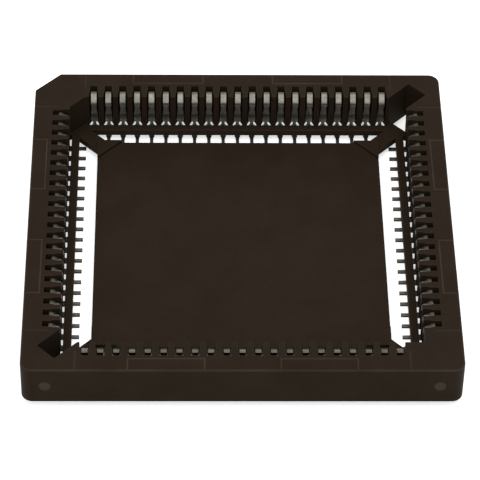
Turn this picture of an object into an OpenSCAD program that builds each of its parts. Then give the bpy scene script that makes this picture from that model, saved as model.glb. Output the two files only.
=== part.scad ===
// Surface-mount socket for a square leaded chip carrier.
// One moulded housing, open at the top, holds a row of sprung contacts on each of its four sides.
// Z = 0 is the board, X runs to the right, Y to the back. The chamfered corner is at -X, +Y.

/* [Chip carrier] */
// Distance from one contact to the next
pitch = 1.27; // [1.2:0.01:1.5]
// Number of contacts on each side
positions = 21; // [7:1:25]
// From the centre of the last contact to the edge of the chip carrier's body
chip_overhang = 1.95; // [1.8:0.05:2.6]
// Gap between the body of the chip carrier and the ribs round it
chip_clearance = 0.1; // [0.05:0.01:0.4]

/* [Housing] */
// Height of the moulding
housing_h = 3.7; // [3.4:0.05:6]
// Gap from the board up to the underside of the moulding
board_gap = 0.73; // [0.6:0.01:1.2]
// Thickness of the outer wall behind the contacts
wall = 1.62; // [1:0.02:3]
// Radius of the upright outer corners
corner_r = 0.95; // [0.5:0.05:1.4]
// Leg of the chamfer on the corner that marks the first contact
mark_chamfer = 2.15; // [1.2:0.05:2.6]
// Rounding of the outer top edge
edge_r = 0.18; // [0.05:0.01:0.4]
// Leg of the block in the cavity that only the chip carrier's chamfered corner clears
key_leg = 1.3; // [0.6:0.05:1.4]

/* [Ribs] */
// Length of each rib, from the wall to the cavity
rib_length = 1.47; // [1.3:0.01:2]
// Thickness of each rib at the wall
rib_w = 0.62; // [0.5:0.01:0.68]
// Thickness of each rib at its end, beside the cavity
rib_end_w = 0.43; // [0.3:0.01:0.49]
// Distance over which the ribs thicken between the two
rib_flare = 0.4; // [0.2:0.05:0.6]
// How much shorter the ribs are at the bottom than at the top
rib_draft = 0.05; // [0:0.01:0.2]
// Width of the throat round each contact leg, at the foot of the slots between the ribs
throat_w = 0.5; // [0.42:0.02:0.6]
// Height of the throat
throat_h = 0.2; // [0.1:0.01:0.2]

/* [Floor] */
// Thickness of the floor, the rails and the arms
floor_t = 0.61; // [0.3:0.01:1]
// How far the floor stands below the underside of the walls
floor_drop = 0.14; // [0:0.01:0.15]
// Width of the open window between the floor plate and each rail
window_w = 1.64; // [0.8:0.02:3]
// Width of the rail that runs along the foot of each row of ribs
rail_w = 0.67; // [0.4:0.01:1]
// Width of the slit between the rail and the ribs, at the top of the ribs
slit_w = 0.11; // [0.05:0.01:0.3]
// Width of the four arms that tie the floor plate to the corners
arm_w = 1.34; // [0.8:0.02:2]
// Leg of the raised pad on each corner of the floor plate
pad_leg = 2.12; // [1:0.02:4]
// Height of the raised pads above the floor
pad_h = 0.32; // [0.1:0.01:0.6]

/* [Extraction slots] */
// Width of the two slots that let a tool reach under the chip carrier
tool_slot_w = 2.05; // [1:0.05:2.4]
// Reach of the slots into the corner, from the corner of the cavity
tool_slot_reach = 1.54; // [0.8:0.02:2]
// Reach of the slots into the floor, from the corner of the cavity
tool_slot_inset = 0.56; // [0.2:0.02:0.6]

/* [Ejector marks] */
// Diameter of the two ejector marks on the front wall
ejector_d = 1; // [0.6:0.1:1.6]
// Depth of the ejector marks
ejector_depth = 0.05; // [0.02:0.01:0.1]
// From each end of the front wall to the centre of its mark
ejector_inset = 1.95; // [1.8:0.05:4]
// From the top of the front wall down to the marks
ejector_drop = 1.95; // [1.4:0.05:2.4]

/* [Contacts] */
// Thickness of the contact strip
strip_t = 0.2; // [0.12:0.01:0.24]
// Width of the lead-in, the bump and the foot
strip_w = 0.51; // [0.4:0.01:0.6]
// Narrowest width of the spring arm
arm_neck_w = 0.42; // [0.3:0.01:0.5]
// Width of the leg where it leaves the housing
leg_w = 0.3; // [0.25:0.01:0.4]
// Width of the sheared end of the foot
tail_w = 0.29; // [0.2:0.01:0.34]
// Gap on each side of the wide part that holds the contact in its slot
seat_gap = 0.01; // [0.005:0.005:0.03]
// Thickness of the wall ledge that stands behind the contact leg
ledge = 0.62; // [0.4:0.02:0.8]
// From the back of the slot to the end of the lead-in
tip_gap = 0.53; // [0.4:0.01:0.65]
// From the top of the housing down to the end of the lead-in
tip_drop = 0.33; // [0.15:0.01:0.5]
// Length of the level end of the lead-in
tip_length = 0.27; // [0.24:0.01:0.4]
// Bend radius between the level end and the slope of the lead-in, at the middle of the strip
crest_r = 0.4; // [0.2:0.05:0.45]
// From the top of the housing down to the corner of the bump
bump_drop = 0.8; // [0.7:0.01:1.1]
// How far the corner of the bump stands back from the rib ends
bump_setback = 0.05; // [0:0.01:0.15]
// Bend radius of the bump and of the heel, at the middle of the strip
bend_r = 0.3; // [0.2:0.01:0.3]
// Bend radius where the spring arm meets the leg
knee_r = 0.6; // [0.3:0.05:0.8]
// From the housing's underside up to the knee
knee_h = 1.12; // [0.9:0.02:1.5]
// From the back of the leg to the end of the foot
foot_length = 2.22; // [1.8:0.02:2.6]
// Length of the foot's sheared end, with the curve that leads into it
tail_length = 1.02; // [0.7:0.02:1.2]
// Length of that curve alone
tail_curve = 0.45; // [0.2:0.05:0.5]

/* [Hidden] */

$fn = 48;
// Overlap that keeps cuts clean and joins sound
over = 0.5;
// Straight steps that make up each bend of a contact
bend_steps = 5;
// Contacts of one side are grouped into this many nodes
groups = 7;
// Turns that carry the back side onto the other three
LEFT = 90;
FRONT = 180;
RIGHT = 270;

// Distances are taken outwards from the middle of the socket, on one side
row_half = (positions - 1) * pitch / 2;
chip_half = row_half + chip_overhang;
rib_face = chip_half + chip_clearance;
slot_back = rib_face + rib_length;
body_half = slot_back + wall;
slot_w = pitch - rib_w;
mouth_w = pitch - rib_end_w;
leg_back = slot_back - ledge;
rail_outer = rib_face - slit_w;
rail_inner = rail_outer - rail_w;
plate_half = rail_inner - window_w;
row_end = row_half + pitch / 2;

// Heights above the board
top_z = board_gap + housing_h;
floor_base = board_gap - floor_drop;
floor_top = floor_base + floor_t;
throat_top = board_gap + throat_h;
ledge_z = board_gap + knee_h;
// Height over which the slot deepens above the ledge
ledge_slope = 0.7;

// Corners of the contact's middle line, from the lead-in to the end of the foot
tip = [slot_back - tip_gap, top_z - tip_drop];
crest = [tip.x - tip_length, tip.y];
bump = [rib_face + bump_setback, top_z - bump_drop];
knee = [leg_back - strip_t / 2, board_gap + knee_h];
heel = [leg_back - strip_t / 2, strip_t / 2];
toe = [leg_back - foot_length, strip_t / 2];
strip_line = [tip, crest, bump, knee, heel, toe];
strip_bends = [crest_r, bend_r, knee_r, bend_r];

// The wide part of the contact that holds it in its slot
seat_w = slot_w - 2 * seat_gap;
seat_low = board_gap + 0.32;
seat_high = board_gap + 0.8;
// Height over which the contact steps to another width
width_step = 0.1;
// Top of the foot, with the bend of the heel
foot_top = strip_t / 2 + bend_r;
// From the corner of the bump down to the narrowest place of the spring arm
neck_drop = 0.75;

function unit(v) = v / norm(v);
function perp(v) = [-v.y, v.x];
function turned(v, a) = [v.x * cos(a) - v.y * sin(a), v.x * sin(a) + v.y * cos(a)];
function reversed(list) = [for (i = [len(list) - 1:-1:0]) list[i]];
function mirrored(list) = [for (p = reversed(list)) [-p.x, p.y]];

// Points round the bend at b on a line from a to c, moved h to the line's left
function bend(a, b, c, r, h) =
    let (
        u = unit(b - a),
        v = unit(c - b),
        side = sign(cross(u, v)),
        turn = acos(u * v),
        centre = b - u * r * tan(turn / 2) + side * perp(u) * r
    )
    [for (k = [0:bend_steps])
        centre + turned(-side * perp(u), side * turn * k / bend_steps) * (r - side * h)];

// One face of a bent strip whose middle line has the corners p and the bend radii r
function strip_face(p, r, h) =
    let (last = len(p) - 1)
    concat(
        [p[0] + perp(unit(p[1] - p[0])) * h],
        [for (i = [1:last - 1]) each bend(p[i - 1], p[i], p[i + 1], r[i - 1], h)],
        [p[last] + perp(unit(p[last] - p[last - 1])) * h]
    );

// Stands a profile drawn as (distance outwards, height) across the back row
module across_row(w) {
    rotate([90, 0, 90])
        linear_extrude(height = w, center = true)
            children();
}

module each_side() {
    for (turn = [0, LEFT, FRONT, RIGHT])
        rotate([0, 0, turn])
            children();
}

module each_position() {
    for (i = [0:positions - 1])
        translate([i * pitch - row_half, 0, 0])
            children();
}

// Outer block: a core, a wall on each side and an upright round on each corner
module outer_block() {
    inner = body_half - corner_r;
    difference() {
        translate([0, 0, board_gap]) {
            linear_extrude(height = housing_h)
                square(2 * inner, center = true);
            each_side() {
                translate([0, inner, 0])
                    across_row(2 * inner)
                        rounded_wall(-corner_r / 2);
                translate([inner, inner, 0])
                    rotate_extrude()
                        rounded_wall(0);
            }
        }
        mark_cut();
    }
}

// Section of the outer wall from start to its face, rounded at the top edge
module rounded_wall(start) {
    translate([start, 0])
        square([corner_r - start, housing_h - edge_r]);
    translate([start, 0])
        square([corner_r - start - edge_r, housing_h]);
    translate([corner_r - edge_r, housing_h - edge_r])
        intersection() {
            circle(edge_r);
            square(edge_r);
        }
}

// Cut that leaves the chamfered corner, with the same rounding along its top edge
module mark_cut() {
    rotate([0, 0, 45])
        translate([0, sqrt(2) * body_half - mark_chamfer / sqrt(2), board_gap])
            across_row(2 * mark_chamfer) {
                translate([0, -over])
                    square([mark_chamfer, housing_h + 2 * over]);
                translate([-edge_r, housing_h - edge_r])
                    difference() {
                        square(edge_r + over);
                        circle(edge_r);
                    }
            }
}

// Slot that holds one contact: open to the cavity, stepped in behind the leg
module contact_slot() {
    across_row(slot_w)
        polygon([
            [rib_face - over, top_z + over],
            [slot_back, top_z + over],
            [slot_back, ledge_z + ledge_slope],
            [leg_back, ledge_z],
            [leg_back, throat_top],
            [rib_face - over, throat_top]
        ]);
    slot_mouth(slot_w, throat_top, top_z + over);
    slot_mouth(throat_w, board_gap - over, throat_top + over);
}

// Part of a slot beside the cavity, which narrows outwards to the width w at the leg
module slot_mouth(w, low, high) {
    edge = [
        [mouth_w / 2, rib_face - over],
        [mouth_w / 2, leg_back - rib_flare],
        [w / 2, leg_back]
    ];
    translate([0, 0, low])
        linear_extrude(height = high - low)
            polygon(concat(edge, mirrored(edge)));
}

// Taper of the rib ends, cut along the whole side
module rib_taper() {
    across_row(2 * rib_face)
        polygon([
            [rib_face - over, top_z],
            [rib_face, top_z],
            [rib_face + rib_draft, board_gap],
            [rib_face + rib_draft, board_gap - over],
            [rib_face - over, board_gap - over]
        ]);
}

// Floor: centre plate, a rail along each row, arms and closed corners
module socket_floor() {
    translate([0, 0, floor_base])
        linear_extrude(height = floor_t) {
            square(2 * plate_half, center = true);
            difference() {
                square(2 * rail_outer, center = true);
                square(2 * rail_inner, center = true);
            }
            for (turn = [0, LEFT, FRONT, RIGHT])
                rotate(turn) {
                    translate([row_end, row_end])
                        square(rib_face + over - row_end);
                    rotate(45)
                        translate([(plate_half - arm_w) * sqrt(2), -arm_w / 2])
                            square([(rail_inner + rail_w / 2 - plate_half + arm_w) * sqrt(2), arm_w]);
                }
        }
    each_side()
        translate([0, 0, floor_base])
            linear_extrude(height = floor_t + pad_h)
                polygon([
                    [plate_half, plate_half],
                    [plate_half - pad_leg, plate_half],
                    [plate_half, plate_half - pad_leg]
                ]);
}

// Block in the cavity corner that keys the chip carrier
module key_block() {
    translate([0, 0, board_gap])
        linear_extrude(height = housing_h)
            polygon([
                [-rib_face - over, rib_face + over],
                [-rib_face - over, rib_face - key_leg],
                [-rib_face, rib_face - key_leg],
                [-rib_face + key_leg, rib_face],
                [-rib_face + key_leg, rib_face + over]
            ]);
}

// Slots in two corners, open to the cavity, that run a little way into the floor below
module tool_slots() {
    corner = rib_face * sqrt(2);
    mouth = corner - tool_slot_w / 2 - over;
    for (turn = [0, FRONT])
        rotate([0, 0, turn - 45])
            across_row(tool_slot_w)
                polygon([
                    [mouth, top_z + over],
                    [corner + tool_slot_reach, top_z + over],
                    [corner + tool_slot_reach, floor_base - over],
                    [corner - tool_slot_inset, floor_base - over],
                    [corner - tool_slot_inset, floor_top],
                    [mouth, floor_top]
                ]);
}

module ejector_marks() {
    for (side = [-1, 1])
        translate([side * (body_half - ejector_inset), ejector_depth - body_half, top_z - ejector_drop])
            rotate([90, 0, 0])
                cylinder(d = ejector_d, h = over);
}

// Walls round the open cavity, with the ribs left between the contact slots
module walls() {
    difference() {
        outer_block();
        translate([-rib_face, -rib_face, board_gap - over])
            cube([2 * rib_face, 2 * rib_face, housing_h + 2 * over]);
        each_side() {
            rib_taper();
            each_position()
                contact_slot();
        }
    }
}

module housing() {
    color("#2d2824")
        difference() {
            union() {
                walls();
                key_block();
                socket_floor();
            }
            tool_slots();
            ejector_marks();
        }
}

// Width of the contact at each height, from the top of the foot to the lead-in
module contact_front() {
    edge = [
        [strip_w / 2, foot_top],
        [leg_w / 2, foot_top + width_step],
        [leg_w / 2, seat_low - width_step],
        [seat_w / 2, seat_low],
        [seat_w / 2, seat_high],
        [arm_neck_w / 2, bump.y - neck_drop],
        [strip_w / 2, bump.y - strip_t],
        [strip_w / 2, top_z]
    ];
    translate([0, body_half, 0])
        rotate([90, 0, 0])
            linear_extrude(height = body_half)
                polygon(concat(edge, mirrored(edge)));
}

// Plan of the foot, with the curve down to its sheared end
module contact_foot() {
    neck = toe.x + tail_length;
    edge = concat(
        [[strip_w / 2, leg_back]],
        [for (a = [0:15:90]) [
            (tail_w + (strip_w - tail_w) * (1 - sin(a))) / 2,
            neck - tail_curve * (1 - cos(a))
        ]],
        [[tail_w / 2, toe.x - over]]
    );
    linear_extrude(height = foot_top)
        polygon(concat(edge, mirrored(edge)));
}

module contact() {
    intersection() {
        across_row(slot_w)
            polygon(concat(
                strip_face(strip_line, strip_bends, strip_t / 2),
                reversed(strip_face(strip_line, strip_bends, -strip_t / 2))
            ));
        union() {
            contact_front();
            contact_foot();
        }
    }
}

// One group of contacts on the side that turn brings round
module contacts(turn, group) {
    first = round((group - 1) * positions / groups);
    last = round(group * positions / groups) - 1;
    color("#b8b4ab")
        rotate([0, 0, turn])
            for (i = [first:last])
                translate([i * pitch - row_half, 0, 0])
                    contact();
}

housing();
for (group = [1:groups]) {
    contacts(0, group);
    contacts(LEFT, group);
    contacts(FRONT, group);
    contacts(RIGHT, group);
}
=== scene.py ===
from math import cos, radians, sin

import bpy
from mathutils import Matrix, Vector


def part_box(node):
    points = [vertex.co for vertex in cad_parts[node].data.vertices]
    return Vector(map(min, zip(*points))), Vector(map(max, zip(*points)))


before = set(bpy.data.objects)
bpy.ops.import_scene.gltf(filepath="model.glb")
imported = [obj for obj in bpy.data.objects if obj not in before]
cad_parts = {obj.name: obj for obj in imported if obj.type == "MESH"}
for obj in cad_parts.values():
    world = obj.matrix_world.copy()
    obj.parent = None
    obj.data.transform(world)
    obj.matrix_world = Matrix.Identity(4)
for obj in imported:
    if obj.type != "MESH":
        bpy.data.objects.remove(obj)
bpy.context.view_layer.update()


# Camera. It looks down on the socket from in front, a little from the left, through a long
# lens, and it leans slightly to one side.
housing_low, housing_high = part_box("housing")
camera_distance = 0.233644
camera_elevation = radians(44.775)
camera_azimuth = radians(1.589)
camera_roll = radians(1.2057)
camera_target = Vector((-0.0000569, -0.0030899, housing_high.z))
camera_lens = 209.93
camera_sensor = 36

forward = Vector((
    sin(camera_azimuth) * cos(camera_elevation),
    cos(camera_azimuth) * cos(camera_elevation),
    -sin(camera_elevation),
))
level_right = Vector((cos(camera_azimuth), -sin(camera_azimuth), 0))
level_up = level_right.cross(forward)
camera_right = cos(camera_roll) * level_right + sin(camera_roll) * level_up
camera_up = cos(camera_roll) * level_up - sin(camera_roll) * level_right

camera_data = bpy.data.cameras.new("camera")
camera_data.lens = camera_lens
camera_data.sensor_width = camera_sensor
camera_data.clip_start = 0.01
camera_data.clip_end = 10
camera = bpy.data.objects.new("camera", camera_data)
turn = Matrix((camera_right, camera_up, -forward)).transposed().to_4x4()
camera.matrix_world = Matrix.Translation(camera_target - camera_distance * forward) @ turn
bpy.context.scene.collection.objects.link(camera)
bpy.context.scene.camera = camera
bpy.context.scene.view_settings.view_transform = "Standard"


# Housing. One injection moulding in glass-filled nylon, dark brown, with a fine spark-eroded
# grain on its flat faces. The parting edges of the mould's inserts show on top as faint lines.


def new_material(name):
    """A material with a Principled shader; returns it with its tree and the shader."""
    material = bpy.data.materials.new(name)
    material.use_nodes = True
    tree = material.node_tree
    tree.nodes.clear()
    output = tree.nodes.new("ShaderNodeOutputMaterial")
    shader = tree.nodes.new("ShaderNodeBsdfPrincipled")
    tree.links.new(shader.outputs["BSDF"], output.inputs["Surface"])
    return material, tree, shader


def shader_group(name, inputs, outputs):
    """An empty shader node group with the named sockets, and its two end nodes."""
    tree = bpy.data.node_groups.new(name, "ShaderNodeTree")
    for socket_name, kind, value in inputs:
        socket = tree.interface.new_socket(name=socket_name, in_out="INPUT", socket_type=kind)
        socket.default_value = value
    for socket_name, kind in outputs:
        tree.interface.new_socket(name=socket_name, in_out="OUTPUT", socket_type=kind)
    return tree, tree.nodes.new("NodeGroupInput"), tree.nodes.new("NodeGroupOutput")


def use_group(tree, group, **values):
    """A copy of a node group in a material, with some of its inputs set."""
    node = tree.nodes.new("ShaderNodeGroup")
    node.node_tree = group
    for socket_name, value in values.items():
        node.inputs[socket_name].default_value = value
    return node


def noise(tree, scale, detail, roughness):
    """Noise in object coordinates."""
    place = tree.nodes.new("ShaderNodeTexCoord")
    node = tree.nodes.new("ShaderNodeTexNoise")
    node.inputs["Scale"].default_value = scale
    node.inputs["Detail"].default_value = detail
    node.inputs["Roughness"].default_value = roughness
    tree.links.new(place.outputs["Object"], node.inputs["Vector"])
    return node


def ramp(tree, source, from_range, to_range):
    """A value carried from one range to another, without going past either end."""
    node = tree.nodes.new("ShaderNodeMapRange")
    node.inputs["From Min"].default_value = from_range[0]
    node.inputs["From Max"].default_value = from_range[1]
    node.inputs["To Min"].default_value = to_range[0]
    node.inputs["To Max"].default_value = to_range[1]
    tree.links.new(source, node.inputs["Value"])
    return node.outputs["Result"]


def calc(tree, operation, *sources):
    """A Math node on sockets or plain numbers."""
    node = tree.nodes.new("ShaderNodeMath")
    node.operation = operation
    for socket, source in zip(node.inputs, sources):
        if isinstance(source, (int, float)):
            socket.default_value = source
        else:
            tree.links.new(source, socket)
    return node.outputs["Value"]


def blend(tree, factor, first, second):
    """A colour between two others, which are sockets or plain colours."""
    node = tree.nodes.new("ShaderNodeMix")
    node.data_type = "RGBA"
    tree.links.new(factor, node.inputs["Factor"])
    for socket, source in ((node.inputs["A"], first), (node.inputs["B"], second)):
        if isinstance(source, tuple):
            socket.default_value = source
        else:
            tree.links.new(source, socket)
    return node.outputs["Result"]


# Soft edges: the small radius that moulding and stamping leave on every edge, as a normal,
# and a mask that is 1 on the edges and 0 on the flats. The mask compares the rounded normal
# with the flat one: their product is 1 on a flat and falls towards an edge.
flat_product = 0.995
edge_product = 0.8
soft_edges, edges_in, edges_out = shader_group(
    "soft_edges",
    [("Radius", "NodeSocketFloat", 0.00005)],
    [("Normal", "NodeSocketVector"), ("Edge", "NodeSocketFloat")],
)
bevel = soft_edges.nodes.new("ShaderNodeBevel")
bevel.samples = 6
geometry = soft_edges.nodes.new("ShaderNodeNewGeometry")
agreement = soft_edges.nodes.new("ShaderNodeVectorMath")
agreement.operation = "DOT_PRODUCT"
soft_edges.links.new(edges_in.outputs["Radius"], bevel.inputs["Radius"])
soft_edges.links.new(bevel.outputs["Normal"], agreement.inputs[0])
soft_edges.links.new(geometry.outputs["Normal"], agreement.inputs[1])
edge_mask = ramp(soft_edges, agreement.outputs["Value"], (flat_product, edge_product), (0, 1))
soft_edges.links.new(bevel.outputs["Normal"], edges_out.inputs["Normal"])
soft_edges.links.new(edge_mask, edges_out.inputs["Edge"])

# Witness line: the outline that an insert of the mould leaves on all four walls, as a mask.
# Centre and Half Size give the insert's rectangle as seen from above: first across the wall,
# measured from the middle of the socket, and then along it. A size of 0 gives a plain line.
top_tolerance = 0.00002
insert_place = (housing_high.x, 0.00615, 0)
insert_half_size = (0.00127, 0.00308, 0)
witness_line, witness_in, witness_out = shader_group(
    "witness_line",
    [
        ("Centre", "NodeSocketVector", insert_place),
        ("Half Size", "NodeSocketVector", insert_half_size),
        ("Width", "NodeSocketFloat", 0.00008),
    ],
    [("Mask", "NodeSocketFloat")],
)
place = witness_line.nodes.new("ShaderNodeTexCoord")
spot = witness_line.nodes.new("ShaderNodeSeparateXYZ")
witness_line.links.new(place.outputs["Object"], spot.inputs["Vector"])
from_middle_x = calc(witness_line, "ABSOLUTE", spot.outputs["X"])
from_middle_y = calc(witness_line, "ABSOLUTE", spot.outputs["Y"])
in_wall = witness_line.nodes.new("ShaderNodeCombineXYZ")
across_wall = calc(witness_line, "MAXIMUM", from_middle_x, from_middle_y)
along_wall = calc(witness_line, "MINIMUM", from_middle_x, from_middle_y)
witness_line.links.new(across_wall, in_wall.inputs["X"])
witness_line.links.new(along_wall, in_wall.inputs["Y"])
offset = witness_line.nodes.new("ShaderNodeVectorMath")
offset.operation = "SUBTRACT"
witness_line.links.new(in_wall.outputs["Vector"], offset.inputs[0])
witness_line.links.new(witness_in.outputs["Centre"], offset.inputs[1])
either_side = witness_line.nodes.new("ShaderNodeVectorMath")
either_side.operation = "ABSOLUTE"
witness_line.links.new(offset.outputs["Vector"], either_side.inputs[0])
past_edge = witness_line.nodes.new("ShaderNodeVectorMath")
past_edge.operation = "SUBTRACT"
witness_line.links.new(either_side.outputs["Vector"], past_edge.inputs[0])
witness_line.links.new(witness_in.outputs["Half Size"], past_edge.inputs[1])
past = witness_line.nodes.new("ShaderNodeSeparateXYZ")
witness_line.links.new(past_edge.outputs["Vector"], past.inputs["Vector"])
outline = calc(witness_line, "MAXIMUM", past.outputs["X"], past.outputs["Y"])
off_line = calc(witness_line, "ABSOLUTE", outline)
share = calc(witness_line, "DIVIDE", off_line, witness_in.outputs["Width"])
on_line = ramp(witness_line, share, (1, 0.4), (0, 1))
on_top = calc(witness_line, "GREATER_THAN", spot.outputs["Z"], housing_high.z - top_tolerance)
witness_line.links.new(calc(witness_line, "MULTIPLY", on_line, on_top), witness_out.inputs["Mask"])

# Rim highlight: a mask that is 1 on the rounded upper edge of the walls and 0 elsewhere, where the
# plastic gets a painted highlight.
painted_rim_highlight, rim_in, rim_out = shader_group(
    "painted_rim_highlight",
    [("Depth", "NodeSocketFloat", 0.0002)],
    [("Mask", "NodeSocketFloat")],
)
place = painted_rim_highlight.nodes.new("ShaderNodeTexCoord")
spot = painted_rim_highlight.nodes.new("ShaderNodeSeparateXYZ")
painted_rim_highlight.links.new(place.outputs["Object"], spot.inputs["Vector"])
geometry = painted_rim_highlight.nodes.new("ShaderNodeNewGeometry")
facing = painted_rim_highlight.nodes.new("ShaderNodeSeparateXYZ")
painted_rim_highlight.links.new(geometry.outputs["Normal"], facing.inputs["Vector"])
upright = calc(painted_rim_highlight, "SUBTRACT", 1, facing.outputs["Z"])
lean = calc(painted_rim_highlight, "MULTIPLY", facing.outputs["Z"], upright)
below_top = calc(painted_rim_highlight, "SUBTRACT", housing_high.z, spot.outputs["Z"])
near_top = calc(painted_rim_highlight, "LESS_THAN", below_top, rim_in.outputs["Depth"])
rounded = ramp(painted_rim_highlight, lean, (0.02, 0.2), (0, 0.75))
painted_rim_highlight.links.new(calc(painted_rim_highlight, "MULTIPLY", rounded, near_top), rim_out.inputs["Mask"])

# Ejector mark: a mask that is 1 in the shallow round hollows in the front face, where the
# ejector pins have polished the grain away.
front_face_depth = 0.0002
ejector_inset = 0.00195
ejector_place = (housing_high.x - ejector_inset, 0, housing_high.z - ejector_inset)
ejector_mark, mark_in, mark_out = shader_group(
    "ejector_mark",
    [("Centre", "NodeSocketVector", ejector_place), ("Radius", "NodeSocketFloat", 0.00051)],
    [("Mask", "NodeSocketFloat")],
)
place = ejector_mark.nodes.new("ShaderNodeTexCoord")
spot = ejector_mark.nodes.new("ShaderNodeSeparateXYZ")
ejector_mark.links.new(place.outputs["Object"], spot.inputs["Vector"])
in_face = ejector_mark.nodes.new("ShaderNodeCombineXYZ")
ejector_mark.links.new(calc(ejector_mark, "ABSOLUTE", spot.outputs["X"]), in_face.inputs["X"])
ejector_mark.links.new(spot.outputs["Z"], in_face.inputs["Z"])
from_centre = ejector_mark.nodes.new("ShaderNodeVectorMath")
from_centre.operation = "DISTANCE"
ejector_mark.links.new(in_face.outputs["Vector"], from_centre.inputs[0])
ejector_mark.links.new(mark_in.outputs["Centre"], from_centre.inputs[1])
share = calc(ejector_mark, "DIVIDE", from_centre.outputs["Value"], mark_in.outputs["Radius"])
on_front = calc(ejector_mark, "LESS_THAN", spot.outputs["Y"], housing_low.y + front_face_depth)
in_mark = ramp(ejector_mark, share, (1, 0.85), (0, 1))
ejector_mark.links.new(calc(ejector_mark, "MULTIPLY", in_mark, on_front), mark_out.inputs["Mask"])

plastic, plastic_tree, plastic_shader = new_material("glass_filled_nylon")
plastic_deep = (0.0195, 0.0124, 0.0071, 1)
plastic_pale = (0.0275, 0.0182, 0.0113, 1)
# The lighter colour is a painted highlight on the edges and rim, and the real colour of the witness
# lines and ejector marks.
plastic_highlight_and_marks = (0.072, 0.054, 0.040, 1)
plastic_edge_radius = 0.00009
flow_scale = 260
grain_scale = 7000
grain_height = 0.000006
flow_share = 0.45
grain_share = 0.55
end_line_place = (0.0168, 0.01346, 0)
end_line_half_size = (0.00104, 0, 0)
end_line_strength = 0.5
line_wear = 0.8
plastic_shine = 0.08
plastic_edges = use_group(plastic_tree, soft_edges, Radius=plastic_edge_radius)
flow = noise(plastic_tree, flow_scale, 3, 0.6)
grain = noise(plastic_tree, grain_scale, 3, 0.7)
flow_mask = ramp(plastic_tree, flow.outputs["Fac"], (0.35, 0.65), (0, 1))
grain_mask = ramp(plastic_tree, grain.outputs["Fac"], (0.3, 0.7), (0, 1))
tone = calc(plastic_tree, "ADD", calc(plastic_tree, "MULTIPLY", flow_mask, flow_share),
            calc(plastic_tree, "MULTIPLY", grain_mask, grain_share))
body_colour = blend(plastic_tree, tone, plastic_deep, plastic_pale)
insert_lines = use_group(plastic_tree, witness_line)
end_lines = use_group(plastic_tree, witness_line)
end_lines.inputs["Centre"].default_value = end_line_place
end_lines.inputs["Half Size"].default_value = end_line_half_size
rim_highlight = use_group(plastic_tree, painted_rim_highlight)
marks = use_group(plastic_tree, ejector_mark)
lines = calc(plastic_tree, "MAXIMUM", insert_lines.outputs["Mask"],
             calc(plastic_tree, "MULTIPLY", end_lines.outputs["Mask"], end_line_strength))
# Painted highlight: the rounded edges and the wall rim are made lighter, as if they caught the light.
painted_edge_highlight = calc(plastic_tree, "MAXIMUM", plastic_edges.outputs["Edge"], rim_highlight.outputs["Mask"])
highlight_and_lines = calc(plastic_tree, "MAXIMUM", painted_edge_highlight, calc(plastic_tree, "MULTIPLY", lines, line_wear))
patchy = ramp(plastic_tree, flow.outputs["Fac"], (0.3, 0.7), (0.45, 0.9))
highlight_and_marks = calc(plastic_tree, "MAXIMUM", calc(plastic_tree, "MULTIPLY", highlight_and_lines, patchy),
               marks.outputs["Mask"])
# The body colour goes towards the lighter one: painted highlight on edges and rim, real colour on
# witness lines and ejector marks.
plastic_colour = blend(plastic_tree, highlight_and_marks, body_colour, plastic_highlight_and_marks)
plastic_tree.links.new(plastic_colour, plastic_shader.inputs["Base Color"])
plastic_roughness = ramp(plastic_tree, tone, (0, 1), (0.72, 0.58))
plastic_tree.links.new(plastic_roughness, plastic_shader.inputs["Roughness"])
plastic_shader.inputs["Specular IOR Level"].default_value = plastic_shine
plastic_shader.inputs["Specular Tint"].default_value = (1, 0.86, 0.7, 1)
relief = plastic_tree.nodes.new("ShaderNodeBump")
relief.inputs["Strength"].default_value = 1
relief.inputs["Distance"].default_value = grain_height
plastic_tree.links.new(grain.outputs["Fac"], relief.inputs["Height"])
plastic_tree.links.new(plastic_edges.outputs["Normal"], relief.inputs["Normal"])
plastic_tree.links.new(relief.outputs["Normal"], plastic_shader.inputs["Normal"])

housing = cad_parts["housing"]
housing.data.materials.clear()
housing.data.materials.append(plastic)


# Contacts. Each is a strip of copper alloy, stamped, bent and plated with matt tin, and it is
# pushed up into its slot from below. The stamped edges are bare, rough metal.

# Stamped edges: a mask that is 1 on the faces across the thickness of the strips. On the left
# and right sides those faces look along Y, on the other two sides along X.
fully_edge = 0.9
stamped_edges, stamped_in, stamped_out = shader_group(
    "stamped_edges",
    [("Softness", "NodeSocketFloat", 0.2)],
    [("Mask", "NodeSocketFloat")],
)
place = stamped_edges.nodes.new("ShaderNodeTexCoord")
spot = stamped_edges.nodes.new("ShaderNodeSeparateXYZ")
stamped_edges.links.new(place.outputs["Object"], spot.inputs["Vector"])
facing = stamped_edges.nodes.new("ShaderNodeSeparateXYZ")
geometry = stamped_edges.nodes.new("ShaderNodeNewGeometry")
stamped_edges.links.new(geometry.outputs["True Normal"], facing.inputs["Vector"])
across_x = calc(stamped_edges, "ABSOLUTE", spot.outputs["X"])
across_y = calc(stamped_edges, "ABSOLUTE", spot.outputs["Y"])
on_left_or_right = calc(stamped_edges, "GREATER_THAN", across_x, across_y)
faces_x = calc(stamped_edges, "ABSOLUTE", facing.outputs["X"])
faces_y = calc(stamped_edges, "ABSOLUTE", facing.outputs["Y"])
on_front_or_back = calc(stamped_edges, "SUBTRACT", 1, on_left_or_right)
along_row = calc(stamped_edges, "ADD", calc(stamped_edges, "MULTIPLY", on_left_or_right, faces_y),
                 calc(stamped_edges, "MULTIPLY", on_front_or_back, faces_x))
lower_end = calc(stamped_edges, "SUBTRACT", fully_edge, stamped_in.outputs["Softness"])
edge_share = stamped_edges.nodes.new("ShaderNodeMapRange")
edge_share.inputs["From Max"].default_value = fully_edge
stamped_edges.links.new(lower_end, edge_share.inputs["From Min"])
stamped_edges.links.new(along_row, edge_share.inputs["Value"])
stamped_edges.links.new(edge_share.outputs["Result"], stamped_out.inputs["Mask"])

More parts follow.
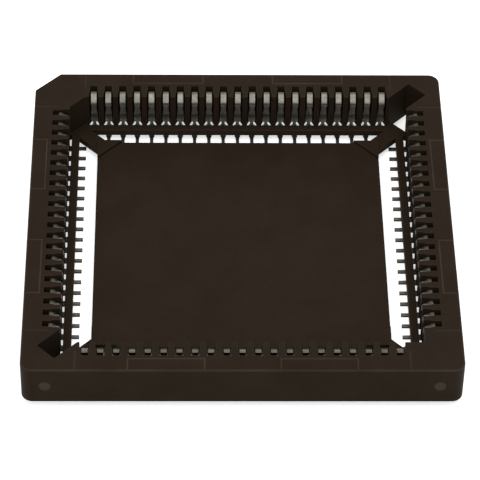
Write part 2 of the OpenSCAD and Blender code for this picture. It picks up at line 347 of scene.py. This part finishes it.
tin, tin_tree, tin_shader = new_material("matt_tin")
tin_bright = (0.245, 0.229, 0.198, 1)
tin_dull = (0.175, 0.164, 0.141, 1)
bare_metal = (0.05, 0.041, 0.03, 1)
tin_edge_radius = 0.00004
cloud_scale = 1500
crystal_scale = 22000
crystal_height = 0.000002
edge_roughness = 0.35
tin_edges = use_group(tin_tree, soft_edges, Radius=tin_edge_radius)
stamped = use_group(tin_tree, stamped_edges)
cloud = noise(tin_tree, cloud_scale, 4, 0.65)
crystals = noise(tin_tree, crystal_scale, 2, 0.6)
cloud_mask = ramp(tin_tree, cloud.outputs["Fac"], (0.35, 0.65), (0, 1))
plating = blend(tin_tree, cloud_mask, tin_dull, tin_bright)
tin_colour = blend(tin_tree, stamped.outputs["Mask"], plating, bare_metal)
tin_tree.links.new(tin_colour, tin_shader.inputs["Base Color"])
metal_share = ramp(tin_tree, stamped.outputs["Mask"], (0, 1), (1, 0))
tin_tree.links.new(metal_share, tin_shader.inputs["Metallic"])
rough_plating = ramp(tin_tree, cloud.outputs["Fac"], (0.3, 0.7), (0.48, 0.36))
rough_edges = calc(tin_tree, "MULTIPLY", stamped.outputs["Mask"], edge_roughness)
tin_tree.links.new(calc(tin_tree, "ADD", rough_plating, rough_edges), tin_shader.inputs["Roughness"])
tin_relief = tin_tree.nodes.new("ShaderNodeBump")
tin_relief.inputs["Strength"].default_value = 1
tin_relief.inputs["Distance"].default_value = crystal_height
tin_tree.links.new(crystals.outputs["Fac"], tin_relief.inputs["Height"])
tin_tree.links.new(tin_edges.outputs["Normal"], tin_relief.inputs["Normal"])
tin_tree.links.new(tin_relief.outputs["Normal"], tin_shader.inputs["Normal"])
for name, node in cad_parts.items():
    if name.startswith("contacts_"):
        node.data.materials.clear()
        node.data.materials.append(tin)


# Floor. A white table that shows plain white to the eye and in reflections, and keeps a faint shadow
# of the socket.
# Under the solid floor of the socket its glow is switched off in a rectangle, a painted shadow.
floor_size = 2.0
shade_x = 0.0113
shade_y = 0.0125
bounce = (0.2, 0.2, 0.2, 1)
glow_strength = 0.6
bpy.ops.mesh.primitive_plane_add(size=floor_size)
floor = bpy.context.object
floor.name = "floor"
white = bpy.data.materials.new("white_table")
white.use_nodes = True
white_tree = white.node_tree
white_tree.nodes.clear()
white_output = white_tree.nodes.new("ShaderNodeOutputMaterial")
lit = white_tree.nodes.new("ShaderNodeBsdfDiffuse")
lit.inputs["Color"].default_value = bounce
shadowed = white_tree.nodes.new("ShaderNodeBsdfDiffuse")
shadowed.inputs["Color"].default_value = (1, 1, 1, 1)
glow = white_tree.nodes.new("ShaderNodeEmission")
seen = white_tree.nodes.new("ShaderNodeAddShader")
place = white_tree.nodes.new("ShaderNodeTexCoord")
spot = white_tree.nodes.new("ShaderNodeSeparateXYZ")
white_tree.links.new(place.outputs["Object"], spot.inputs["Vector"])
# Painted shadow: the glow is off in a rectangle under the socket's solid floor, whatever the lamps do.
clear_x = calc(white_tree, "GREATER_THAN", calc(white_tree, "ABSOLUTE", spot.outputs["X"]), shade_x)
clear_y = calc(white_tree, "GREATER_THAN", calc(white_tree, "ABSOLUTE", spot.outputs["Y"]), shade_y)
outside_painted_shadow = calc(white_tree, "MAXIMUM", clear_x, clear_y)
white_tree.links.new(calc(white_tree, "MULTIPLY", outside_painted_shadow, glow_strength), glow.inputs["Strength"])
path = white_tree.nodes.new("ShaderNodeLightPath")
straight = calc(white_tree, "MAXIMUM", path.outputs["Is Camera Ray"], path.outputs["Is Glossy Ray"])
seen_or_reflected = calc(white_tree, "MAXIMUM", straight, path.outputs["Is Transmission Ray"])
choose = white_tree.nodes.new("ShaderNodeMixShader")
white_tree.links.new(shadowed.outputs["BSDF"], seen.inputs[0])
white_tree.links.new(glow.outputs["Emission"], seen.inputs[1])
white_tree.links.new(seen_or_reflected, choose.inputs[0])
white_tree.links.new(lit.outputs["BSDF"], choose.inputs[1])
white_tree.links.new(seen.outputs["Shader"], choose.inputs[2])
white_tree.links.new(choose.outputs["Shader"], white_output.inputs["Surface"])
floor.data.materials.append(white)


# Light. A white room with a large soft lamp overhead, one in front, and three low ones behind
# that catch the bent ends and the sides of the strips.
room_strength = 0.24
world = bpy.data.worlds.new("room")
bpy.context.scene.world = world
world.use_nodes = True
room = world.node_tree.nodes["Background"]
room.inputs["Color"].default_value = (1, 1, 1, 1)
room.inputs["Strength"].default_value = room_strength


def lamp(name, place, size, power):
    """A square area lamp, facing the point of the table under the middle of the socket."""
    data = bpy.data.lights.new(name, "AREA")
    data.size = size
    data.energy = power
    shining = bpy.data.objects.new(name, data)
    shining.location = place
    towards_middle = -Vector(place)
    shining.rotation_euler = towards_middle.to_track_quat("-Z", "Y").to_euler()
    bpy.context.scene.collection.objects.link(shining)


lamp("overhead", (0.02, -0.05, 0.6), 0.65, 2.4)
lamp("front", (-0.08, -0.55, 0.32), 0.6, 1.5)
lamp("back", (0, 0.55, 0.22), 0.3, 0.37)
lamp("back_left", (-0.5, 0.5, 0.2), 0.4, 0.8)
lamp("back_right", (0.5, 0.5, 0.2), 0.4, 0.8)
